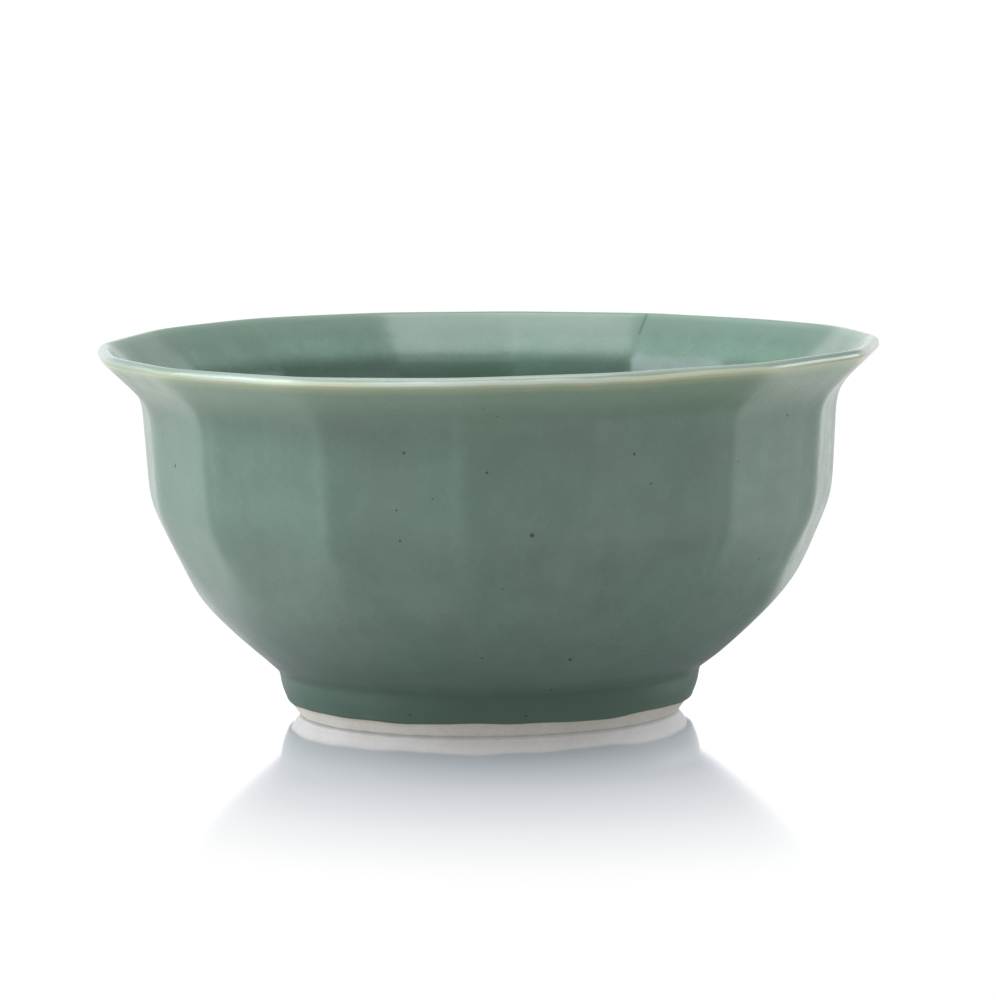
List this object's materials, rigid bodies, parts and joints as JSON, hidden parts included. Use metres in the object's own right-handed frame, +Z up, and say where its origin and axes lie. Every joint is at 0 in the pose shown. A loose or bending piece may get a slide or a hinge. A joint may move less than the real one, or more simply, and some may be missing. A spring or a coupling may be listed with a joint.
{
  "type": "brush washer bowl",
  "caption": "Wide, low glazed stoneware bowl with flat upright facets, a flaring lip and a round foot ring, for rinsing calligraphy brushes.",
  "frame": {"origin": "centre of the foot ring's flat standing face, on the table plane", "axes": "+Z up along the bowl's axis, towards its open mouth; one facet faces -Y, and +X is to the right of a viewer who looks along +Y"},
  "size_m": [0.147, 0.147, 0.071],
  "materials": {
    "stoneware_clay": "bare fired stoneware, cream white and matt",
    "celadon_outside": "soft grey-green celadon, satin gloss, with small iron specks",
    "celadon_lip": "thin pale yellow-green celadon where the clay shows through",
    "celadon_inside": "soft grey-green celadon, satin gloss",
    "celadon_foot_well": "soft grey-green celadon, satin gloss"
  },
  "bodies": {
    "root": {"bowl_body": "stoneware_clay", "foot_ring": "stoneware_clay", "outer_glaze": "celadon_outside", "lip_glaze": "celadon_lip", "inner_glaze": "celadon_inside", "foot_well_glaze": "celadon_foot_well"}
  },
  "joints": []
}
